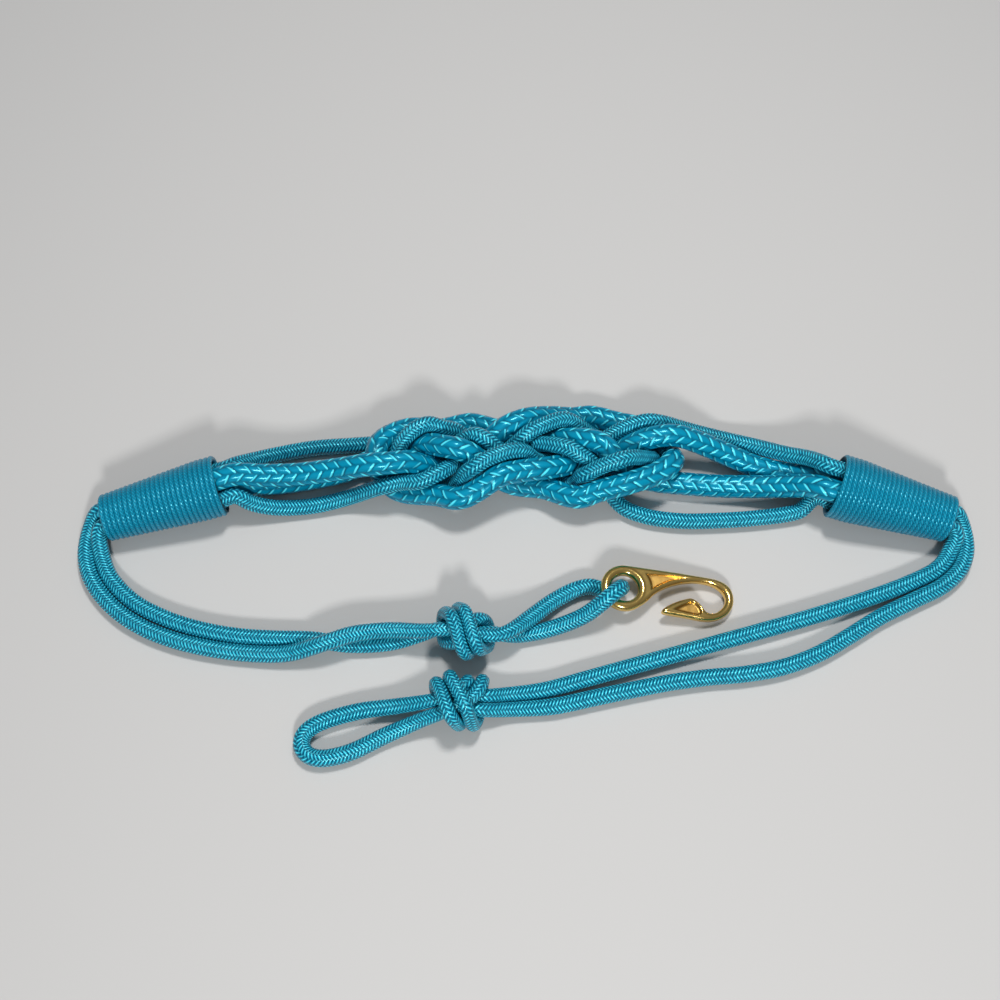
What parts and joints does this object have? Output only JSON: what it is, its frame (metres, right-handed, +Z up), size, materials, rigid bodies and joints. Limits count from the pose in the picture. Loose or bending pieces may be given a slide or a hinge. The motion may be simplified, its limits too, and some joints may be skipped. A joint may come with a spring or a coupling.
{
  "type": "rope belt",
  "caption": "Knotted rope belt: a flat interlaced centre knot of paired braided ropes, whipped sleeves, doubled cord tails, a cast hook and an end loop.",
  "frame": {"origin": "bottom centre of the whole belt's box, on the table it lies on", "axes": "+X along the belt, from the sleeve of the hook's tail towards the sleeve of the loop's tail; +Y away from the tails, towards the centre knot; +Z up"},
  "size_m": [0.3338, 0.1414, 0.0253],
  "materials": {
    "thick_rope": "braided nylon rope, silky sheen",
    "thin_cord": "fine braided nylon cord, silky sheen",
    "whipping": "wound fine braided cord, silky sheen",
    "brass": "polished cast brass"
  },
  "bodies": {
    "root": {"knot_rope_left": "thick_rope", "knot_cord_left": "thin_cord", "knot_rope_right": "thick_rope", "knot_cord_right": "thin_cord", "tail_cord_left": "thin_cord", "tail_cord_right": "thin_cord", "whipping_left": "whipping", "whipping_right": "whipping", "brass_hook": "brass"}
  },
  "joints": []
}
